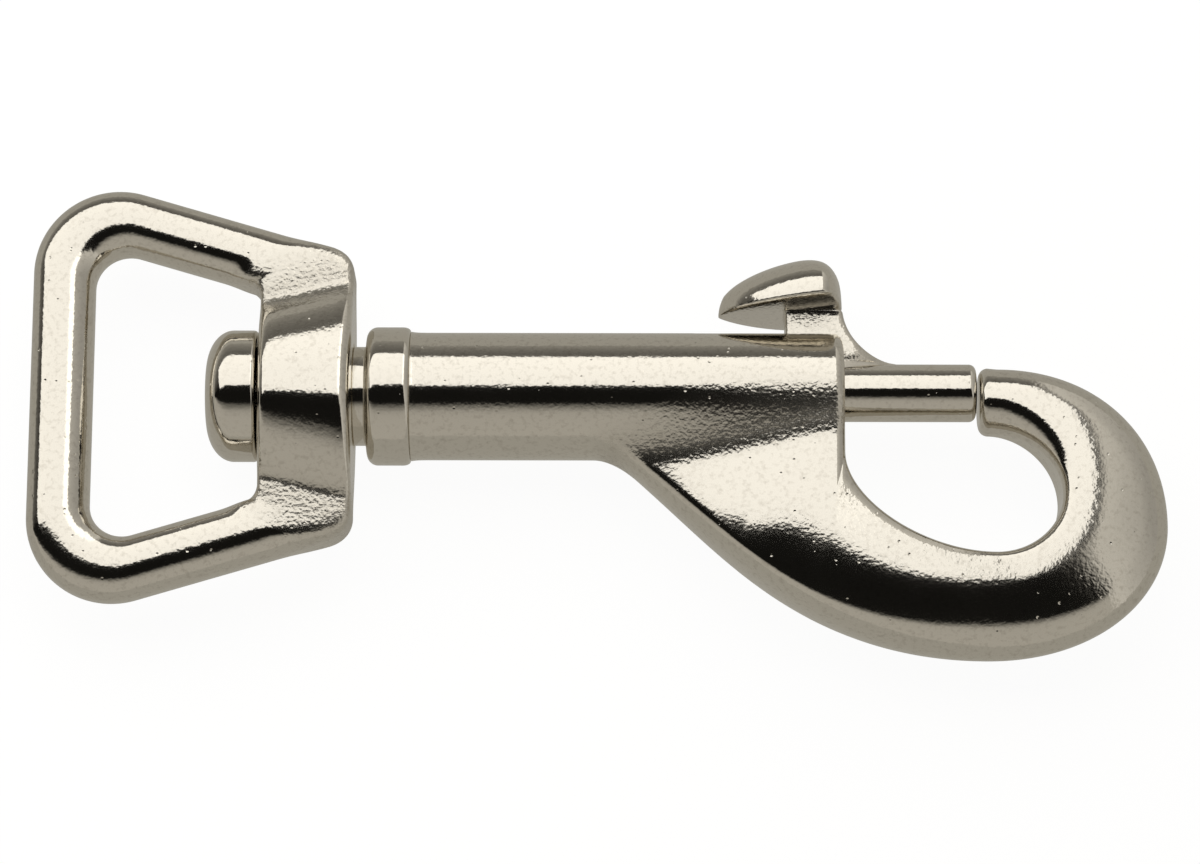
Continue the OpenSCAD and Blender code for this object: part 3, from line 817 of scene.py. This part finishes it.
bolt = dict(
    rear=boltLow[0],
    nose=boltHigh[0],
    axis=boltAxis,
    radius=2.125,
    rearEdge=0.3,
    noseEdge=0.5,
    postStart=53.35,
    postEnd=57.57,
    postThick=2.9,
    postSquare=10,        # squareness of its section
    postTuck=0.65,        # the post goes on this far into the thumb-piece
    tuckBack=0.55,        # and its front draws back this much in it
    hollowRadius=4.3,     # of the post's front, where it runs down to the plunger
    footNarrow=0.8,       # the share of its thickness that its foot loses to the front
    flare=0.1,            # the post's spread under the thumb-piece
    thumbRear=48.45,
    thumbFront=57.55,
    thumbHeight=6.1,      # its underside's height at the rear
    thumbLift=0.4,        # and how much higher it is in front
    thumbWidth=10.4,
    thumbDome=3.35,
    thumbCrest=0.68,      # places along it, as shares: the dome's crest,
    thumbBroad=0.9,       # where it is broadest,
    thumbTurn=0.8,        # where its sides turn in to the front,
    thumbShut=0.97,       # and where its front rounds over
    rim=0.5,
    roughGrainShade=0.4,       # cast grain and painted shade on the post and under the thumb-piece
)


def postSkin(v):
    # Sections one above the other, from inside the plunger to inside the thumb-piece. Each
    # is a squared oval, |x/l|^10 + |z/w|^10 = 1. Its front end follows a hollow quarter circle
    # down to the plunger's top, and it spreads a little where it meets the thumb-piece.
    top, hollow, tuck, around = v["axis"] + v["radius"], v["hollowRadius"], v["postTuck"], 64
    inPlunger = np.linspace(0.9, top, 9)[:-1]
    y = np.concatenate([inPlunger, np.linspace(top + 0.005, v["thumbHeight"] + tuck, 64)])
    depth = np.clip(top + hollow - y, 0, hollow)
    front = v["postEnd"] + hollow - np.sqrt(np.maximum(hollow ** 2 - depth ** 2, 0.0016))
    # the front draws back into the thumb-piece, whose own front is flush with it
    front = front - v["tuckBack"] * ease((y - v["thumbHeight"]) / tuck)
    flare = v["flare"] * np.exp(-np.maximum(v["thumbHeight"] + 0.1 - y, 0) / 0.25)
    rear = v["postStart"] - flare
    turn = np.linspace(0, 2 * np.pi, around, endpoint=False)
    across = signedPower(np.cos(turn), 2 / v["postSquare"])[None, :]
    rise = signedPower(np.sin(turn), 2 / v["postSquare"])[None, :]
    x = ((front + rear) / 2)[:, None] + ((front - rear) / 2)[:, None] * across
    # it narrows along the hollow curve to its front end on the plunger
    narrow = 1 - v["footNarrow"] * ease((x - v["postEnd"] - 0.7) / (hollow - 0.7))
    z = (v["postThick"] / 2 + flare)[:, None] * rise * narrow
    return np.stack([x, np.repeat(y[:, None], around, axis=1), z], axis=-1)


def thumbSkin(v):
    # A leaf seen from above, pointed at its rear and broad in front. Each section is half an
    # oval dome over a shallow half oval, the rounded rim, whose underside rises to the front.
    # Along the leaf, with t from 0 to 1, the dome rises as (1 - (1 - t)^1.5)^0.5 up to its
    # crest and falls as (1 - t^2.6)^0.5 from there, and the width grows as sin(t)^0.62 and
    # turns in as (1 - t^2.3)^0.5, each t counted over its own stretch.
    t = 0.0006 + 0.9989 * (1 - np.cos(np.linspace(0, np.pi, 110))) / 2
    crest, broad, turnIn, shutFrom = v["thumbCrest"], v["thumbBroad"], v["thumbTurn"], v["thumbShut"]
    width = v["thumbWidth"] / 2 * np.sin(np.pi / 2 * np.minimum(t / broad, 1)) ** 0.62
    width = width * np.sqrt(np.maximum(1 - (np.maximum(t - turnIn, 0) / (1.002 - turnIn)) ** 2.3, 0))
    rise = (1 - (1 - np.minimum(t / crest, 1)) ** 1.5) ** 0.5
    fall = (1 - (np.maximum(t - crest, 0) / (1.005 - crest)) ** 2.6) ** 0.5
    shut = np.sqrt(np.maximum(1 - (np.maximum(t - shutFrom, 0) / (1.0002 - shutFrom)) ** 2, 0))
    dome = v["thumbDome"] * rise * fall * shut
    rim = np.minimum(v["rim"], dome * 0.5)
    around = 96
    turn = np.linspace(0, 2 * np.pi, around, endpoint=False)
    upper = np.sin(turn) >= 0
    power = np.where(upper, 2 / 2.15, 2 / 5)
    z = width[:, None] * signedPower(np.cos(turn), power)[None, :]
    base = v["thumbHeight"] + v["thumbLift"] * t ** 2 + rim
    height = np.where(upper[None, :], dome[:, None], rim[:, None])
    y = base[:, None] + height * signedPower(np.sin(turn), power)[None, :]
    x = np.repeat(mix(v["thumbRear"], v["thumbFront"], t)[:, None], around, axis=1)
    return np.stack([x, y, z], axis=-1)


def roughenAndShade(piece, v):
    # The post's sides and the thumb-piece's underside keep the grain of the casting, and are painted darker
    # as shade: all points above the plunger and below the middle of the thumb-piece's rim.
    mesh = piece.data
    point = np.zeros(len(mesh.vertices) * 3)
    mesh.vertices.foreach_get("co", point)
    x, y = point.reshape(-1, 3)[:, :2].T / metresPerMm
    t = np.clip((x - v["thumbRear"]) / (v["thumbFront"] - v["thumbRear"]), 0, 1)
    rimMiddle = v["thumbHeight"] + v["thumbLift"] * t ** 2 + v["rim"] * 0.6
    roughShaded = (y > v["axis"] + v["radius"] + 0.02) & (y < rimMiddle)
    attribute = mesh.attributes.get("castGrain") or mesh.attributes.new("castGrain", "FLOAT", "POINT")
    attribute.data.foreach_set("value", v["roughGrainShade"] * roughShaded.astype(np.float32))


def plungerProfile(v):
    # (x, radius) of a straight rod with rounded ends
    rear, nose, r, rearEdge, noseEdge = v["rear"], v["nose"], v["radius"], v["rearEdge"], v["noseEdge"]
    return np.concatenate([
        [[rear, 0.02]],
        edgeArc(rear + rearEdge, r - rearEdge, rearEdge, rearEdge, 180, 90, 5),
        np.stack([np.linspace(rear + 1, nose - 1, 30), np.full(30, r)], axis=1),
        edgeArc(nose - noseEdge, r - noseEdge, noseEdge, noseEdge, 90, 0, 10),
        [[nose, 0.02]]])


print("Casting the bolt")
boltPiece = lathe("boltCasting", plungerProfile(bolt), 96, bolt["axis"])
combine(boltPiece, meshFromGrid("post", postSkin(bolt)), "UNION")
combine(boltPiece, meshFromGrid("thumbPiece", thumbSkin(bolt)), "UNION")
roughenAndShade(boltPiece, bolt)
finishPiece(boltPiece, boltNickel, "bolt", "bolt")

# Spring: a coil of round wire in the barrel, behind the bolt

spring = dict(coils=8, wireRadius=0.22, coilRadius=1.78, alongCoil=40, aroundWire=10)


def springSkin(v):
    # a circle of the wire's radius carried along a helix
    t = np.linspace(0, 1, v["coils"] * v["alongCoil"])
    turn = 2 * np.pi * v["coils"] * t
    side = np.linspace(0, 2 * np.pi, v["aroundWire"], endpoint=False)
    run = mix(springLow[0] + v["wireRadius"], springHigh[0] - v["wireRadius"], t)
    x = run[:, None] + v["wireRadius"] * np.sin(side)
    r = v["coilRadius"] + v["wireRadius"] * np.cos(side)
    return np.stack([x, boltAxis + r * np.cos(turn)[:, None], r * np.sin(turn)[:, None]], axis=-1)


print("Winding the spring")
springPiece = meshFromGrid("boltSpring", springSkin(spring))
springSteel = nickelPlate("springSteel", grain=0.2, peel=0.3, shade=0.8)
finishPiece(springPiece, springSteel, "body", "bolt_spring")
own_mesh(springPiece)

# Floor, light and camera, in metres

studio = dict(
    cameraTilt=14.5,          # degrees from straight down, towards the hook's side
    cameraTurn=0.09,
    cameraDistance=0.335,
    aim=(0.0397, -0.00268, 0.0),
    frameWidth=0.0883,        # what the frame's width takes in at the aim point
    boxAngle=33,              # the soft box stands this far over on the thumb side
    boxDistance=0.19,
    boxCentre=-0.110,
    boxWidth=0.438,
    boxHeight=0.204,
    boxRadiance=1.25,
    boxColour=(1, 0.985, 0.95),
    floorReach=2,
    floorColour=(0.8, 0.79, 0.77, 1),
    floorWhite=1.107,         # the floor's white to the camera, and its share there
    floorShare=0.85,
    floorInMetal=(0.40, 0.385, 0.345, 1),
    # the room: angle from straight up towards +Y in degrees, and the brightness there
    room=((-180, 0.45), (-110, 0.42), (-90, 0.47), (-56, 0.46), (-46, 0.44), (-40, 0.38), (-33, 0.2),
          (-26, 0.008), (8, 0.006), (58, 0.12), (68, 0.14), (78, 0.2), (89, 0.29), (101, 0.29),
          (116, 0.46), (180, 0.45)),
    roomTint=(1, 0.955, 0.86),
    # the pale wall at the hook's far end: place towards it, brightness and cover
    wall=((0.19, 0.66, 0), (0.27, 0.66, 1), (0.5, 0.52, 1), (0.9, 0.38, 1)),
    wallTint=(1, 0.965, 0.89),
    wallSlant=0.7,
    wallEdge=0.2,
)


def mixShaders(add, put, factor, first, second):
    # the first where the factor is 0, the second where it is 1
    mixer = add("ShaderNodeMixShader")
    for value, socket in zip((factor, first, second), mixer.inputs):
        put(value, socket)
    return mixer.outputs[0]


def emission(add, put, colour, strength=1.0):
    # a surface that shines in one colour
    node = add("ShaderNodeEmission")
    put(colour, node.inputs["Color"])
    put(strength, node.inputs["Strength"])
    return node.outputs[0]


def colourRamp(add, put, factor, stops, tint):
    # a ramp over stops of (place, brightness, cover), all of one tint
    node = add("ShaderNodeValToRGB")
    put(factor, node.inputs[0])
    elements = node.color_ramp.elements
    while len(elements) < len(stops):
        elements.new(0.5)
    for element, (place, level, cover) in zip(elements, stops):
        element.position = place
        element.color = [level * channel for channel in tint] + [cover]
    return node


def lightFloor(v):
    # a plain pale floor that shows white to the camera and pale grey in the metal
    low, reach = cadBox[0][2], v["floorReach"]
    corners = [(-reach, -reach, low), (reach, -reach, low), (reach, reach, low), (-reach, reach, low)]
    mesh = bpy.data.meshes.new("floor")
    mesh.from_pydata(corners, [], [(0, 1, 2, 3)])
    floor = bpy.data.objects.new("floor", mesh)
    scene.collection.objects.link(floor)
    material = bpy.data.materials.new("paleFloor")
    material.use_nodes = True
    add, put, calc = nodeKit(material.node_tree)
    matt = add("ShaderNodeBsdfDiffuse")
    put(v["floorColour"], matt.inputs["Color"])
    rays = add("ShaderNodeLightPath")
    inMetal = emission(add, put, v["floorInMetal"])
    white = emission(add, put, (1, 1, 1, 1), v["floorWhite"])
    unseen = mixShaders(add, put, rays.outputs["Is Glossy Ray"], matt.outputs[0], inMetal)
    whiteShare = calc("MULTIPLY", rays.outputs["Is Camera Ray"], v["floorShare"])
    output = add("ShaderNodeOutputMaterial")
    put(mixShaders(add, put, whiteShare, unseen, white), output.inputs["Surface"])
    mesh.materials.append(material)


def lightRoom(v):
    # A pale room with a darker strip overhead, white where the camera sees it. Its brightness
    # goes by the angle round the X axis, and towards +X it gives way to a pale wall.
    world = bpy.data.worlds.new("room")
    scene.world = world
    world.use_nodes = True
    add, put, calc = nodeKit(world.node_tree)
    split = add("ShaderNodeSeparateXYZ")
    put(add("ShaderNodeTexCoord").outputs["Generated"], split.inputs[0])
    lean = calc("ARCTAN2", split.outputs["Y"], split.outputs["Z"])
    share = add("ShaderNodeMapRange")
    put(-math.pi, share.inputs["From Min"])
    put(math.pi, share.inputs["From Max"])
    put(lean, share.inputs["Value"])
    stops = [((angle + 180) / 360, level, 1) for angle, level in v["room"]]
    room = colourRamp(add, put, share.outputs[0], stops, v["roomTint"])
    # the place towards the wall is X + slant * min(Y - edge, 0)
    aside = calc("MINIMUM", calc("SUBTRACT", split.outputs["Y"], v["wallEdge"]), 0)
    across = calc("MULTIPLY_ADD", aside, v["wallSlant"], split.outputs["X"])
    wall = colourRamp(add, put, across, v["wall"], v["wallTint"])
    blend = add("ShaderNodeMix", data_type="RGBA")
    put(wall.outputs["Alpha"], blend.inputs["Factor"])
    for ramp, socket in zip((room, wall), colourSockets(blend.inputs)):
        put(ramp.outputs["Color"], socket)
    around, white = add("ShaderNodeBackground"), add("ShaderNodeBackground")
    put(colourSockets(blend.outputs)[0], around.inputs["Color"])
    put((1, 1, 1, 1), white.inputs["Color"])
    seen = add("ShaderNodeLightPath").outputs["Is Camera Ray"]
    output = add("ShaderNodeOutputWorld")
    put(mixShaders(add, put, seen, around.outputs[0], white.outputs[0]), output.inputs["Surface"])


def softBox(v):
    # one broad lamp over the thumb side, as bright as white where the metal mirrors it
    lamp = bpy.data.lights.new("softBox", "AREA")
    lamp.shape = "RECTANGLE"
    lamp.size, lamp.size_y = v["boxWidth"], v["boxHeight"]
    # an area lamp's power over pi times its area is its radiance
    lamp.energy = v["boxRadiance"] * math.pi * v["boxWidth"] * v["boxHeight"]
    lamp.color = v["boxColour"]
    lamp.use_shadow = True
    holder = bpy.data.objects.new("softBox", lamp)
    scene.collection.objects.link(holder)
    lean = math.radians(v["boxAngle"])
    holder.location = (v["boxCentre"], v["boxDistance"] * math.sin(lean), v["boxDistance"] * math.cos(lean))
    holder.rotation_euler = (-lean, 0, 0)
    holder.visible_camera = False


def placeCamera(v):
    # the photograph's view, steeply down, and the lens that takes in the frame's width
    lens = bpy.data.cameras.new("camera")
    camera = bpy.data.objects.new("camera", lens)
    scene.collection.objects.link(camera)
    tilt, turn, distance = math.radians(v["cameraTilt"]), math.radians(v["cameraTurn"]), v["cameraDistance"]
    away = np.array([math.sin(turn) * math.sin(tilt), -math.cos(turn) * math.sin(tilt), math.cos(tilt)])
    camera.location = (np.array(v["aim"]) + distance * away).tolist()
    camera.rotation_euler = (tilt, 0, turn)
    lens.sensor_fit = "HORIZONTAL"
    lens.lens = lens.sensor_width * distance / v["frameWidth"]
    lens.clip_start = 0.01
    scene.camera = camera


print("Lighting the scene")
lightFloor(studio)
lightRoom(studio)
softBox(studio)
placeCamera(studio)
scene.view_settings.view_transform = "Standard"
